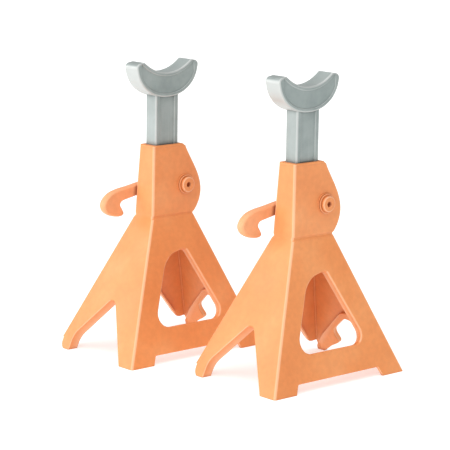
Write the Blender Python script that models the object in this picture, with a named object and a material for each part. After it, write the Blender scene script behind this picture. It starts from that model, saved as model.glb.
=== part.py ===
"""A pair of ratchet axle stands, in metres with +Z up.

Each stand is a four-legged pressed steel tower in two halves, welded down the middle of its left
and right faces. Its front face has a window over a low rail, and the other three faces are arched
from foot to foot, the rear feet standing on the ends of the left and right faces. A toothed post
with a crescent saddle slides in its neck, and a pawl on a cross pin, turned by the hooked handle
behind the neck, drops under one of the post's teeth. The origin is on the floor midway between the
two stands.

The outlines below are in millimetres in each stand's own frame: X across the wide face, Y from the
front face to the rear one, and the post's axis at X = Y = 0. Meshes are written in metres.
"""

import math

import bmesh
import bpy
from mathutils import Matrix, Vector

MM = 0.001
GAP = 0.3  # between pieces that touch on the real stand
CLEAR = 5.0  # how far a cutter runs past the wall it cuts
FAR = 300.0  # beyond every piece of a stand
BORE_STEPS = 24
SMALL_BORE_STEPS = 16
HEAD_STEPS = 28
KEY_STEPS = 12
EDGE = 0.01  # keeps a square end's two rings apart

# Where the two stands stand, left to right and front to back
STAND_PLACES = {"stand1": (23.0, -99.037), "stand2": (-23.0, 102.963)}

# Tower
BASE_HALF_WIDTH = 105.8
BASE_HALF_DEPTH = 75.4
NECK_BASE_Z = 168.0
NECK_BASE_LEFT = -28.3
NECK_BASE_RIGHT = 37.3
NECK_BASE_HALF_DEPTH = 18.0
NECK_TOP_Z = 256.0
NECK_TOP_LEFT = -24.3
NECK_TOP_RIGHT = 27.8
NECK_TOP_HALF_DEPTH = 14.1
BULGE = 17.4  # how far the pawl housing swells from the neck's right side
BULGE_SECTIONS = 14
SHEET = 3.1
FOLD_RADIUS = 3.6
INNER_FOLD_RADIUS = 1.4
FOLD_STEPS = 4
TOP_PLATE = 3.0
TOP_PLATE_EDGE = ((3.0, 0), (1.2, -0.1), (0.4, -0.6), (0, -1.6))  # (depth below the top, growth)

# Openings in the tower: (across, height, corner radius)
WINDOW = ((-57, 41, 14), (56, 41, 12), (14, 128.5, 6), (-18, 122, 36))
LEFT_ARCH = ((51, -6, 0), (51, 19, 20), (1, 73, 9), (-49, 0, 3), (-49, -6, 0))
RIGHT_ARCH = ((58, -6, 0), (56, 1, 5), (38, 12.5, 10), (21, 20.5, 4), (28.5, 35, 8),
              (-8, 63, 14), (-49, 0, 3), (-49, -6, 0))
REAR_ARCH = ((96.8, -6, 0), (96.8, 12.6, 0), (86, 11, 14), (74, 21, 20), (0, 95, 30),
             (-74, 21, 20), (-86, 11, 14), (-96.8, 12.6, 0), (-96.8, -6, 0))
RAIL = ((73, -6, 0), (65, 11, 3), (-65, 11, 3), (-73, -6, 0))
FOOT_CORNER = ((57, -6, 0), (90, -6, 0), (90, 13, 0), (68.2, 13, 0), (67.8, -0.5, 9),
               (57, -0.5, 0))  # what is trimmed off the rear feet

# Lips round the openings
LIP_DEPTH = 9.0
LEFT_LIP_DEPTH = 13.0
RIGHT_HEM_DEPTH = 7.0
LIP_THICKNESS = 2.6
LIP_START = 1.2
RIGHT_HEM = ((68, -6, 0), (66, 8, 6), (50, 26, 12), (-10, 76, 22), (-56, 0, 3), (-56, -6, 0))
REAR_LIP = ((91, -6, 0), (91, 8, 6), (76.5, 21, 20), (0, 98.5, 32),
            (-76.5, 21, 20), (-91, 8, 6), (-91, -6, 0))

# Post and saddle
POST_HALF_WIDTH = 18.0
POST_HALF_DEPTH = 9.9
POST_BOTTOM_Z = 121.0
POST_TOP_Z = 314.3
POST_EDGE = 1.8
POST_END_CHAMFER = 1.3
FACE_GROOVE_HALF_WIDTH = 8.5
FACE_GROOVE_DEPTH = 0.9
SADDLE_BOTTOM_Z = 314.6
SADDLE_TOP_Z = 359.0
SADDLE_HALF_WIDTH = 48.4
SADDLE_FRONT_Y = -11.0
SADDLE_REAR_Y = 14.2
SADDLE_OUTER_HEIGHT = 42.0  # vertical half axis of the outer curve
SADDLE_FULLNESS = 2.15  # exponent of the outer curve, 2 being an ellipse
TROUGH_RADIUS = 54.0
TROUGH_BOTTOM_Z = 345.0
TROUGH_STEPS = 17  # odd, so that a level facet lies at the bottom
SADDLE_CURVE_STEPS = 14
SADDLE_CURVE_START = 16  # degrees from straight down, where the underside goes flat
SADDLE_CURVE_END = 90
SADDLE_CHAMFER = 1.2
SADDLE_RIM = 4.6
SADDLE_RECESS = 0.9
SADDLE_RECESS_END = 70  # degrees from straight down
SADDLE_RECESS_STEPS = 14

# Ratchet
TOOTH_PITCH = 12.5
TEETH_ABOVE = 4  # notches the post can still drop
TEETH_BELOW = 3  # notches the post can still rise
TOOTH_CREST_X = 16.0
TOOTH_ROOT_X = 12.0
TOOTH_LAND = 1.0
CHANNEL_HALF_WIDTH = 6.0
CHANNEL_BOTTOM_Z = 155.0
CHANNEL_TOP_RUN = 4.0
PIVOT_X = 25.0
PIVOT_Z = 205.0
NOSE_RADIUS = 21.5
NOSE_TIP_X = 13.2
HEEL = (16.7, 213.2)
NOSE_ARC = math.radians(18)
NOSE_STEPS = 5
HUB_TURN = math.radians(18)  # from the nose's arc to where the hub starts, and where it ends
HUB_STEPS = 22
PAWL_CHAMFER = 0.5
NOSE_CLEARANCE = 0.4
PAWL_LIFT = math.radians(11)  # how far the pawl is turned out of the teeth as modelled
PAWL_HALF_WIDTH = 5.0
PAWL_HUB_RADIUS = 8.2

# Cross pin, washers, handle and small pins
PIN_RADIUS = 4.6
PIN_HEAD_RADIUS = 9.6
PIN_HEAD = 4.0
PIN_HEAD_EDGE = ((0, -1.2), (0.5, -0.4), (1.4, 0), (4.0, 0))  # (depth behind the head's face, growth)
PIN_DRILL_RADIUS = 3.2
PIN_DRILL_DEPTH = 5.0
PIN_OVERLAP = 1.0  # of the shaft into the head
PIN_END_Y = 33.0
PIN_CHAMFER = 0.8
BOSS_RADIUS = 13.2
BOSS_FACE_Y = 17.25
BOSS_ROOT_Y = 14.8  # inside the sheet
BOSS_STEPS = 32
WASHER_RADIUS = 11.8
WASHER = 1.5
WASHER_CHAMFER = 0.4
HANDLE_HALF_THICKNESS = 6.0
HANDLE_ROUND = 4.7
HANDLE_EYE_RADIUS = 10.5
HANDLE_OUTLINE = ((10, 210), (-17, 206), (-34, 203), (-50, 200.6), (-62, 197), (-70.5, 190.5),
                  (-74.5, 182), (-71.5, 174), (-64, 169), (-54, 166.3), (-45.5, 166.3), (-42, 170),
                  (-44.6, 176), (-47.4, 181), (-44, 185), (-32, 187.6), (-17.5, 190.4), (10, 195))
HANDLE_EYE_STEPS = 9
HANDLE_EYE_JOIN = 0.35  # radians between the bar and the eye's round part
HANDLE_ROUNDING = (-72, -44, -15, 15, 44, 72)  # degrees round the bar's edge
KEY_RADIUS = 1.6
KEY_CHAMFER = 0.4
PAWL_KEY_HALF_LENGTH = 7.6
HANDLE_KEY_HALF_LENGTH = 8.6
STOP_PIN_RADIUS = 2.5
STOP_PIN_HALF_LENGTH = 13.5
STOP_PIN_Z = 128.0
LOWER_GUIDE = (-24.5, 33.0, 14.1, 170.0, 174.0)  # left, right, half depth, bottom, top
GUIDE_CORNER = 3.0
GUIDE_CLEARANCE = 0.4

ORANGE = (0.86, 0.34, 0.12, 1.0)
STEEL_GREY = (0.47, 0.53, 0.53, 1.0)
ZINC = (0.62, 0.62, 0.60, 1.0)

PIVOT = Vector((PIVOT_X, 0.0, PIVOT_Z))
HANDLE_Y = BOSS_FACE_Y + GAP + WASHER + GAP + HANDLE_HALF_THICKNESS


def between(start, end, share):
    return start + (end - start) * share


# Outlines: lists of (across, height) points, counter-clockwise

def rounded(corners, steps=5):
    """The closed outline through corners given as (across, height, radius)."""
    outline = []
    for index, (across, height, radius) in enumerate(corners):
        corner = Vector((across, height))
        before = Vector(corners[index - 1][:2]) - corner
        after = Vector(corners[(index + 1) % len(corners)][:2]) - corner
        if radius == 0:
            outline.append(tuple(corner))
            continue
        half_angle = before.angle(after) / 2
        middle = corner + (before.normalized() + after.normalized()).normalized() * (
            radius / math.sin(half_angle))
        first = corner + before.normalized() * radius / math.tan(half_angle) - middle
        last = corner + after.normalized() * radius / math.tan(half_angle) - middle
        turn = first.angle_signed(last)
        for step in range(steps + 1):
            angle = -turn * step / steps
            spun = Vector((first.x * math.cos(angle) - first.y * math.sin(angle),
                           first.x * math.sin(angle) + first.y * math.cos(angle)))
            outline.append(tuple(middle + spun))
    return outline


def circle(radius, steps, across=0.0, height=0.0):
    return [(across + radius * math.cos(math.tau * step / steps),
             height + radius * math.sin(math.tau * step / steps)) for step in range(steps)]


def smooth_open(points, steps):
    """A Catmull-Rom curve through the points, both ends kept."""
    padded = [points[0], *points, points[-1]]
    curve = []
    for index in range(len(points) - 1):
        p0, p1, p2, p3 = (Vector(padded[index + offset]) for offset in range(4))
        for step in range(steps):
            t = step / steps
            curve.append(tuple(0.5 * (2 * p1 + (p2 - p0) * t + (2 * p0 - 5 * p1 + 4 * p2 - p3) * t ** 2
                                      + (3 * p1 - p0 - 3 * p2 + p3) * t ** 3)))
    curve.append(tuple(points[-1]))
    return curve


def grown(outline, distance):
    """The outline moved out by distance, or in where distance is negative."""
    moved = []
    for index, point in enumerate(outline):
        here = Vector(point)
        arriving = (here - Vector(outline[index - 1])).normalized()
        leaving = (Vector(outline[(index + 1) % len(outline)]) - here).normalized()
        normal = Vector((arriving.y + leaving.y, -arriving.x - leaving.x)).normalized()
        stretch = 1 / max(0.4, normal.dot(Vector((leaving.y, -leaving.x))))
        moved.append(tuple(here + normal * distance * stretch))
    return moved


# Solids

def solid_from_rings(name, rings):
    """A closed solid through rings of equal point count, with a flat face on the first and last."""
    mesh = bmesh.new()
    rows = [[mesh.verts.new(Vector(point) * MM) for point in ring] for ring in rings]
    for lower, upper in zip(rows, rows[1:]):
        for index in range(len(lower)):
            following = (index + 1) % len(lower)
            mesh.faces.new((lower[index], lower[following], upper[following], upper[index]))
    mesh.faces.new(list(reversed(rows[0])))
    mesh.faces.new(rows[-1])
    bmesh.ops.recalc_face_normals(mesh, faces=mesh.faces)
    data = bpy.data.meshes.new(name)
    mesh.to_mesh(data)
    mesh.free()
    solid = bpy.data.objects.new(name, data)
    bpy.context.scene.collection.objects.link(solid)
    return solid


def along_y(name, outline, levels):
    """A solid of the outline standing in the XZ plane. Levels are (y, growth of the outline)."""
    return solid_from_rings(
        name, [[(x, y, z) for x, z in (grown(outline, growth) if growth else outline)]
               for y, growth in levels])


def along_z(name, outline, levels):
    """A solid of the outline lying in the XY plane. Levels are (z, growth of the outline)."""
    return solid_from_rings(
        name, [[(x, y, z) for x, y in (grown(outline, growth) if growth else outline)]
               for z, growth in levels])


def box(name, low, high):
    corners = ((low[0], low[1]), (high[0], low[1]), (high[0], high[1]), (low[0], high[1]))
    return along_z(name, corners, ((low[2], 0), (high[2], 0)))


def changed(solid, operation, others):
    """The solid after cutting, joining or crossing it with the others, which are used up."""
    for other in others:
        modifier = solid.modifiers.new(operation.lower(), "BOOLEAN")
        modifier.operation = operation
        modifier.object = other
    bpy.context.view_layer.update()
    evaluated = solid.evaluated_get(bpy.context.evaluated_depsgraph_get())
    mesh = bpy.data.meshes.new_from_object(evaluated)
    solid.modifiers.clear()
    solid.data = mesh
    for other in others:
        bpy.data.objects.remove(other)
    return solid


def cut(solid, *others):
    return changed(solid, "DIFFERENCE", others)


def joined(solid, *others):
    return changed(solid, "UNION", others)


# The tower

def left_edge(z):
    if z < NECK_BASE_Z:
        return between(-BASE_HALF_WIDTH, NECK_BASE_LEFT, z / NECK_BASE_Z)
    return between(NECK_BASE_LEFT, NECK_TOP_LEFT, neck_share(z))


def half_depth(z):
    if z < NECK_BASE_Z:
        return between(BASE_HALF_DEPTH, NECK_BASE_HALF_DEPTH, z / NECK_BASE_Z)
    return between(NECK_BASE_HALF_DEPTH, NECK_TOP_HALF_DEPTH, neck_share(z))


def right_edge(z):
    """Straight up the leg, then out and back in round the pawl."""
    if z < NECK_BASE_Z:
        return between(BASE_HALF_WIDTH, NECK_BASE_RIGHT, z / NECK_BASE_Z)
    share = neck_share(z)
    swell = math.sin(math.pi * min(1.0, share) ** 0.75)
    return between(NECK_BASE_RIGHT, NECK_TOP_RIGHT, share) + BULGE * max(0.0, swell) ** 1.2


def neck_share(z):
    return (z - NECK_BASE_Z) / (NECK_TOP_Z - TOP_PLATE - NECK_BASE_Z)


def tower_section(z, inset, fold_radius):
    left = left_edge(z) + inset
    right = right_edge(z) - inset
    depth = half_depth(z) - inset
    corners = ((left, -depth), (right, -depth), (right, depth), (left, depth))
    return [(x, y, z) for x, y in rounded([(*corner, fold_radius) for corner in corners], FOLD_STEPS)]


def section_heights(bottom, top):
    neck_top = NECK_TOP_Z - TOP_PLATE
    rises = [between(NECK_BASE_Z, neck_top, step / BULGE_SECTIONS) for step in range(BULGE_SECTIONS)]
    return [bottom, *rises, top]


def front_wall(x, z, depth):
    """A point depth inside the front face, measured square to the sheet."""
    slope = (BASE_HALF_DEPTH - NECK_BASE_HALF_DEPTH) / NECK_BASE_Z
    inward = Vector((0, 1, -slope)).normalized()
    return Vector((x, slope * z - BASE_HALF_DEPTH, z)) + inward * depth


def left_wall(y, z, depth):
    slope = (BASE_HALF_WIDTH + NECK_BASE_LEFT) / NECK_BASE_Z
    inward = Vector((1, 0, -slope)).normalized()
    return Vector((slope * z - BASE_HALF_WIDTH, y, z)) + inward * depth


def right_wall(y, z, depth):
    slope = (BASE_HALF_WIDTH - NECK_BASE_RIGHT) / NECK_BASE_Z
    inward = Vector((-1, 0, -slope)).normalized()
    return Vector((BASE_HALF_WIDTH - slope * z, y, z)) + inward * depth


def rear_wall(x, z, depth):
    point = front_wall(x, z, depth)
    return Vector((point.x, -point.y, point.z))


def through_wall(name, wall, outline, start, end):
    return solid_from_rings(name, [[wall(across, z, depth) for across, z in outline]
                                   for depth in (start, end)])


def tower():
    """Both halves of the tower in one, before the weld seam parts them."""
    neck_top = NECK_TOP_Z - TOP_PLATE - GAP
    body = solid_from_rings("tower", [tower_section(z, 0, FOLD_RADIUS)
                                      for z in section_heights(-CLEAR, neck_top)])
    hollow = solid_from_rings("hollow", [tower_section(z, SHEET, INNER_FOLD_RADIUS)
                                         for z in section_heights(-2 * CLEAR, NECK_TOP_Z)])
    cut(body, hollow)
    window = rounded(WINDOW)
    left_arch = rounded(LEFT_ARCH, 4)
    openings = (  # the wall, the hole, the outside of its lip, and how far the lip turns in
        (front_wall, window, grown(window, LIP_THICKNESS), LIP_DEPTH),
        (rear_wall, rounded(REAR_ARCH), rounded(REAR_LIP), LIP_DEPTH),
        (left_wall, left_arch, grown(left_arch, LIP_THICKNESS), LEFT_LIP_DEPTH),
        (right_wall, rounded(RIGHT_ARCH, 4), rounded(RIGHT_HEM), RIGHT_HEM_DEPTH))
    joined(body, *(through_wall("lip", wall, lip, LIP_START, depth) for wall, _, lip, depth in openings))
    boss = circle(BOSS_RADIUS, BOSS_STEPS, PIVOT_X, PIVOT_Z)
    joined(body, along_y("front_boss", boss, ((-BOSS_FACE_Y, 0), (-BOSS_ROOT_Y, 0))),
           along_y("rear_boss", boss, ((BOSS_ROOT_Y, 0), (BOSS_FACE_Y, 0))))
    cut(body, *(through_wall("opening", wall, hole, -CLEAR, depth + CLEAR)
                for wall, hole, _, depth in openings))
    corner = rounded(FOOT_CORNER, 4)
    return cut(body, through_wall("rail", front_wall, rounded(RAIL, 2), -CLEAR, SHEET + CLEAR),
               through_wall("left_corner", left_wall, corner, -CLEAR, LIP_DEPTH),
               through_wall("right_corner", right_wall, corner, -CLEAR, LIP_DEPTH),
               pin_bore(), box("floor", (-FAR, -FAR, -FAR), (FAR, FAR, 0)))


def half_of(body, name, keep):
    """The half on the side of Y that keep (-1 or 1) says."""
    half = body.copy()
    half.name = name
    bpy.context.scene.collection.objects.link(half)
    near = -GAP / 2 if keep < 0 else -FAR
    far = FAR if keep < 0 else GAP / 2
    return cut(half, box("other_side", (-FAR, near, -CLEAR), (FAR, far, FAR)))


def top_plate():
    outline = [(x, y) for x, y, _ in tower_section(NECK_TOP_Z - TOP_PLATE, 0, FOLD_RADIUS)]
    levels = [(NECK_TOP_Z - depth, growth) for depth, growth in TOP_PLATE_EDGE]
    return cut(along_z("top_plate", outline, levels), post_hole())


def post_hole():
    across = POST_HALF_WIDTH + GUIDE_CLEARANCE
    deep = POST_HALF_DEPTH + GUIDE_CLEARANCE
    return box("post_hole", (-across, -deep, 0), (across, deep, FAR))


def lower_guide():
    left, right, depth, bottom, top = LOWER_GUIDE
    corners = ((left, -depth), (right, -depth), (right, depth), (left, depth))
    outline = rounded([(*corner, GUIDE_CORNER) for corner in corners], 3)
    return cut(along_z("lower_guide", outline, ((bottom, 0), (top, 0))), post_hole())


def pin_bore():
    """A cutter for the cross pin's hole, through everything."""
    return along_y("pin_bore", circle(PIN_RADIUS + GAP, BORE_STEPS, PIVOT_X, PIVOT_Z),
                   ((-FAR, 0), (FAR, 0)))


# The post and saddle

def load_face_z():
    """The height of the load-bearing face that the pawl's nose sits under when it is down."""
    reach = PIVOT_X - TOOTH_CREST_X
    return PIVOT_Z + math.sqrt(NOSE_RADIUS ** 2 - reach ** 2) + NOSE_CLEARANCE


def ratchet_profile():
    """The outline of the space cut from the post's right side: a channel with a saw-toothed floor."""
    outside = POST_HALF_WIDTH + CLEAR
    top = load_face_z() + TEETH_ABOVE * TOOTH_PITCH
    profile = [(outside, CHANNEL_BOTTOM_Z)]
    profile.append((outside, top + CHANNEL_TOP_RUN))
    profile.append((TOOTH_CREST_X, top + CHANNEL_TOP_RUN))
    for tooth in range(TEETH_ABOVE + TEETH_BELOW + 1):
        face = top - tooth * TOOTH_PITCH
        profile.append((TOOTH_CREST_X, face))
        profile.append((TOOTH_ROOT_X, face))
        profile.append((TOOTH_CREST_X, face - TOOTH_PITCH + TOOTH_LAND))
    profile.append((TOOTH_CREST_X, CHANNEL_BOTTOM_Z))
    return profile


def ratchet_post():
    across = POST_HALF_WIDTH
    deep = POST_HALF_DEPTH
    corners = ((-across, -deep), (across, -deep), (across, deep), (-across, deep))
    outline = rounded([(*corner, POST_EDGE) for corner in corners], 3)
    post = along_z("ratchet_post", outline, ((POST_BOTTOM_Z, -POST_END_CHAMFER),
                                             (POST_BOTTOM_Z + POST_END_CHAMFER, 0), (POST_TOP_Z, 0)))
    ratchet = along_y("ratchet", ratchet_profile(), ((-CHANNEL_HALF_WIDTH, 0), (CHANNEL_HALF_WIDTH, 0)))
    wide = FACE_GROOVE_HALF_WIDTH
    floor = deep - FACE_GROOVE_DEPTH
    grooves = []
    for side in (-1, 1):
        profile = [(-wide - CLEAR, side * (deep + CLEAR)), (wide + CLEAR, side * (deep + CLEAR)),
                   (wide, side * floor), (-wide, side * floor)]
        grooves.append(along_z("groove", profile, ((POST_BOTTOM_Z - CLEAR, 0), (POST_TOP_Z + CLEAR, 0))))
    hole = along_y("stop_hole", circle(STOP_PIN_RADIUS + GAP, SMALL_BORE_STEPS, 0, STOP_PIN_Z),
                   ((-FAR, 0), (FAR, 0)))
    return cut(post, ratchet, *grooves, hole)


def saddle_outline():
    """Flat-topped horns, the trough between them, and a flat underside on the post."""
    centre_z = SADDLE_BOTTOM_Z + SADDLE_OUTER_HEIGHT
    trough_centre_z = TROUGH_BOTTOM_Z + TROUGH_RADIUS
    outer = []
    for step in range(SADDLE_CURVE_STEPS + 1):
        degrees = between(SADDLE_CURVE_START, SADDLE_CURVE_END, step / SADDLE_CURVE_STEPS)
        outer.append(outer_curve_point(degrees, centre_z))
    outer[0] = (outer[0][0], SADDLE_BOTTOM_Z)
    outer.append((SADDLE_HALF_WIDTH, SADDLE_TOP_Z))
    horn = math.acos((trough_centre_z - SADDLE_TOP_Z) / TROUGH_RADIUS)
    trough = []
    for step in range(TROUGH_STEPS + 1):
        angle = between(horn, -horn, step / TROUGH_STEPS)
        trough.append((TROUGH_RADIUS * math.sin(angle), trough_centre_z - TROUGH_RADIUS * math.cos(angle)))
    left = [(-x, z) for x, z in reversed(outer)]
    return [*outer, *trough, *left]


def outer_curve_point(degrees, centre_z, inset=0.0):
    """A point on the saddle's outer curve, its angle taken from straight down."""
    power = 2 / SADDLE_FULLNESS
    across = math.sin(math.radians(degrees))
    down = math.cos(math.radians(degrees))
    x = (SADDLE_HALF_WIDTH - inset) * math.copysign(abs(across) ** power, across)
    return x, centre_z - (SADDLE_OUTER_HEIGHT - inset) * math.copysign(abs(down) ** power, down)


def saddle_recess_outline():
    centre_z = SADDLE_BOTTOM_Z + SADDLE_OUTER_HEIGHT
    trough_centre_z = TROUGH_BOTTOM_Z + TROUGH_RADIUS
    lower = []
    for step in range(SADDLE_RECESS_STEPS + 1):
        degrees = between(-SADDLE_RECESS_END, SADDLE_RECESS_END, step / SADDLE_RECESS_STEPS)
        lower.append(outer_curve_point(degrees, centre_z, SADDLE_RIM))
    upper = [(x, trough_centre_z - math.sqrt((TROUGH_RADIUS + SADDLE_RIM) ** 2 - x * x)) for x, _ in lower]
    return [*lower, *reversed(upper)]


def saddle():
    """The crescent, its front face nearly level with the post's and its back overhanging."""
    front = SADDLE_FRONT_Y
    rear = SADDLE_REAR_Y
    crescent = along_y("saddle", saddle_outline(), (
        (front, -SADDLE_CHAMFER), (front + SADDLE_CHAMFER, 0), (rear - SADDLE_CHAMFER, 0),
        (rear, -SADDLE_CHAMFER)))
    recess = saddle_recess_outline()
    slope = SADDLE_RECESS + CLEAR
    return cut(crescent,
               along_y("front_recess", recess, ((front - CLEAR, slope), (front + SADDLE_RECESS, 0))),
               along_y("rear_recess", recess, ((rear - SADDLE_RECESS, 0), (rear + CLEAR, slope))))


def round_bar(name, radius, low_y, high_y, across, height, steps=SMALL_BORE_STEPS, chamfer=0.6):
    return along_y(name, circle(radius, steps, across, height),
                   ((low_y, -chamfer), (low_y + chamfer, 0), (high_y - chamfer, 0), (high_y, -chamfer)))


def stop_pin():
    return round_bar("stop_pin", STOP_PIN_RADIUS, -STOP_PIN_HALF_LENGTH, STOP_PIN_HALF_LENGTH,
                     0, STOP_PIN_Z)


# The pawl, its cross pin and the handle

def turned(outline, angle):
    """The outline turned about the pivot, positive from +Z towards +X."""
    spun = []
    for x, z in outline:
        right = x - PIVOT_X
        up = z - PIVOT_Z
        spun.append((PIVOT_X + right * math.cos(angle) + up * math.sin(angle),
                     PIVOT_Z - right * math.sin(angle) + up * math.cos(angle)))
    return spun


def nose_point(angle, radius=NOSE_RADIUS):
    """A point on the pawl, its angle taken at the pivot from -X upwards."""
    return (PIVOT_X - radius * math.cos(angle), PIVOT_Z + radius * math.sin(angle))


def pawl():
    """A hub and a nose whose top is an arc about the pivot, so it can leave a tooth sideways."""
    tip = math.acos((PIVOT_X - NOSE_TIP_X) / NOSE_RADIUS)
    outline = [nose_point(tip + NOSE_ARC * step / NOSE_STEPS) for step in range(NOSE_STEPS + 1)]
    for step in range(HUB_STEPS + 1):
        angle = between(tip + NOSE_ARC + HUB_TURN, math.tau + HUB_TURN, step / HUB_STEPS)
        outline.append(nose_point(angle, PAWL_HUB_RADIUS))
    outline = turned([*outline, HEEL], PAWL_LIFT)
    outline.reverse()
    wide = PAWL_HALF_WIDTH
    blade = along_y("pawl", outline, ((-wide, -PAWL_CHAMFER), (-wide + PAWL_CHAMFER, 0),
                                      (wide - PAWL_CHAMFER, 0), (wide, -PAWL_CHAMFER)))
    return cut(blade, pin_bore(), cross_bar("key_hole", KEY_RADIUS + GAP, PAWL_KEY_HALF_LENGTH + CLEAR))


def bar_levels(half_length, chamfer):
    """(distance along the bar, growth), from one end to the other."""
    straight = half_length - chamfer - EDGE
    return ((-half_length, -chamfer), (-straight, 0), (straight, 0), (half_length, -chamfer))


def cross_bar(name, radius, half_length, chamfer=0.0):
    """A round bar along X through the pivot, at the pawl."""
    return solid_from_rings(name, [
        [(PIVOT_X + x, y, PIVOT_Z + z) for y, z in circle(radius + growth, KEY_STEPS)]
        for x, growth in bar_levels(half_length, chamfer)])


def upright_bar(name, radius, half_length, chamfer=0.0):
    """A round bar along Z through the pin, at the handle's eye."""
    return along_z(name, circle(radius, KEY_STEPS, PIVOT_X, HANDLE_Y), [
        (PIVOT_Z + z, growth) for z, growth in bar_levels(half_length, chamfer)])


def pawl_key():
    return cross_bar("pawl_key", KEY_RADIUS, PAWL_KEY_HALF_LENGTH, KEY_CHAMFER)


def handle_key():
    return upright_bar("handle_key", KEY_RADIUS, HANDLE_KEY_HALF_LENGTH, KEY_CHAMFER)


def handle_key_hole():
    return upright_bar("key_hole", KEY_RADIUS + GAP, HANDLE_KEY_HALF_LENGTH + CLEAR)


def cross_pin():
    head_y = -BOSS_FACE_Y - GAP - WASHER - GAP
    face_y = head_y - PIN_HEAD
    shaft = round_bar("cross_pin", PIN_RADIUS, head_y - PIN_OVERLAP, PIN_END_Y, PIVOT_X, PIVOT_Z,
                      BORE_STEPS, PIN_CHAMFER)
    joined(shaft, along_y("head", circle(PIN_HEAD_RADIUS, HEAD_STEPS, PIVOT_X, PIVOT_Z),
                          [(face_y + depth, growth) for depth, growth in PIN_HEAD_EDGE]))
    drill = along_y("drill", circle(PIN_DRILL_RADIUS, SMALL_BORE_STEPS, PIVOT_X, PIVOT_Z),
                    ((face_y - CLEAR, 0), (face_y + PIN_DRILL_DEPTH, 0)))
    return cut(shaft, drill, cross_bar("key_hole", KEY_RADIUS + GAP, PAWL_KEY_HALF_LENGTH + CLEAR),
               handle_key_hole())


def washer(name, near_y):
    ring = round_bar(name, WASHER_RADIUS, near_y, near_y + WASHER, PIVOT_X, PIVOT_Z, HEAD_STEPS,
                     WASHER_CHAMFER)
    return cut(ring, pin_bore())


def handle():
    """A rounded bar from the eye on the pin to a curled end."""
    bar = smooth_open(HANDLE_OUTLINE, 3)
    start = math.atan2(bar[-1][1] - PIVOT_Z, bar[-1][0] - PIVOT_X) + HANDLE_EYE_JOIN
    end = math.atan2(bar[0][1] - PIVOT_Z, bar[0][0] - PIVOT_X) - HANDLE_EYE_JOIN
    eye = []
    for step in range(1, HANDLE_EYE_STEPS):
        angle = between(start, end, step / HANDLE_EYE_STEPS)
        eye.append((PIVOT_X + HANDLE_EYE_RADIUS * math.cos(angle),
                    PIVOT_Z + HANDLE_EYE_RADIUS * math.sin(angle)))
    levels = []
    for degrees in HANDLE_ROUNDING:
        angle = math.radians(degrees)
        reach = math.sin(angle) / math.sin(math.radians(HANDLE_ROUNDING[-1]))
        levels.append((HANDLE_Y + HANDLE_HALF_THICKNESS * reach, -HANDLE_ROUND * (1 - math.cos(angle))))
    return cut(along_y("handle", [*bar, *eye], levels), pin_bore(), handle_key_hole())


# Putting it together

def material(name, colour, roughness, metallic):
    made = bpy.data.materials.new(name)
    made.use_nodes = True
    shader = made.node_tree.nodes["Principled BSDF"]
    shader.inputs["Base Color"].default_value = colour
    shader.inputs["Roughness"].default_value = roughness
    shader.inputs["Metallic"].default_value = metallic
    return made


def empty(name, parent, place):
    made = bpy.data.objects.new(name, None)
    made.parent = parent
    made.location = Vector(place) * MM
    bpy.context.scene.collection.objects.link(made)
    return made


def pieces():
    """Each piece with the finish it has and the thing it moves with."""
    body = tower()
    front = half_of(body, "front_shell", -1)
    rear = half_of(body, "rear_shell", 1)
    bpy.data.objects.remove(body)
    near_y = -BOSS_FACE_Y - GAP - WASHER
    return (
        (front, "paint", "stand"),
        (rear, "paint", "stand"),
        (top_plate(), "paint", "stand"),
        (lower_guide(), "steel", "stand"),
        (washer("front_washer", near_y), "paint", "stand"),
        (washer("rear_washer", BOSS_FACE_Y + GAP), "paint", "stand"),
        (ratchet_post(), "steel", "post"),
        (saddle(), "steel", "post"),
        (stop_pin(), "zinc", "post"),
        (pawl(), "steel", "pivot"),
        (cross_pin(), "paint", "pivot"),
        (pawl_key(), "zinc", "pivot"),
        (handle(), "paint", "pivot"),
        (handle_key(), "zinc", "pivot"),
    )


def main():
    for old in list(bpy.data.objects):
        bpy.data.objects.remove(old)
    finishes = {
        "paint": ("tower_paint", ORANGE, 0.45, 0.0),
        "steel": ("post_coating", STEEL_GREY, 0.4, 0.3),
        "zinc": ("pin_plating", ZINC, 0.35, 0.9),
    }
    axes = {"stand": Vector((0, 0, 0)), "post": Vector((0, 0, 0)), "pivot": PIVOT}
    made = pieces()
    for stand, (x, y) in STAND_PLACES.items():
        foot = empty(stand, None, (x, y, 0))
        parents = {"stand": foot}
        for moving in ("post", "pivot"):
            parents[moving] = empty(f"{stand}_{moving}_axis", foot, axes[moving])
        for template, finish, moves_with in made:
            mesh = template.data.copy()
            mesh.transform(Matrix.Translation(-axes[moves_with] * MM))
            mesh.shade_smooth()
            mesh.set_sharp_from_angle(angle=math.radians(30))
            piece = bpy.data.objects.new(f"{stand}_{template.name}", mesh)
            piece.parent = parents[moves_with]
            mesh.materials.clear()
            mesh.materials.append(material(f"{piece.name}_{finishes[finish][0]}", *finishes[finish][1:]))
            bpy.context.scene.collection.objects.link(piece)
    for template, _, _ in made:
        bpy.data.objects.remove(template)


main()
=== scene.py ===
"""The looks of two ratchet axle stands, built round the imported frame.

Every shape below is in millimetres in a stand's own frame: X across the wide face, Y from the front
face to the rear one, and the post's axis at X = Y = 0. Meshes are written in metres, in the frame.
"""

import math

import bmesh
import bpy
from mathutils import Matrix, Vector


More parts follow.
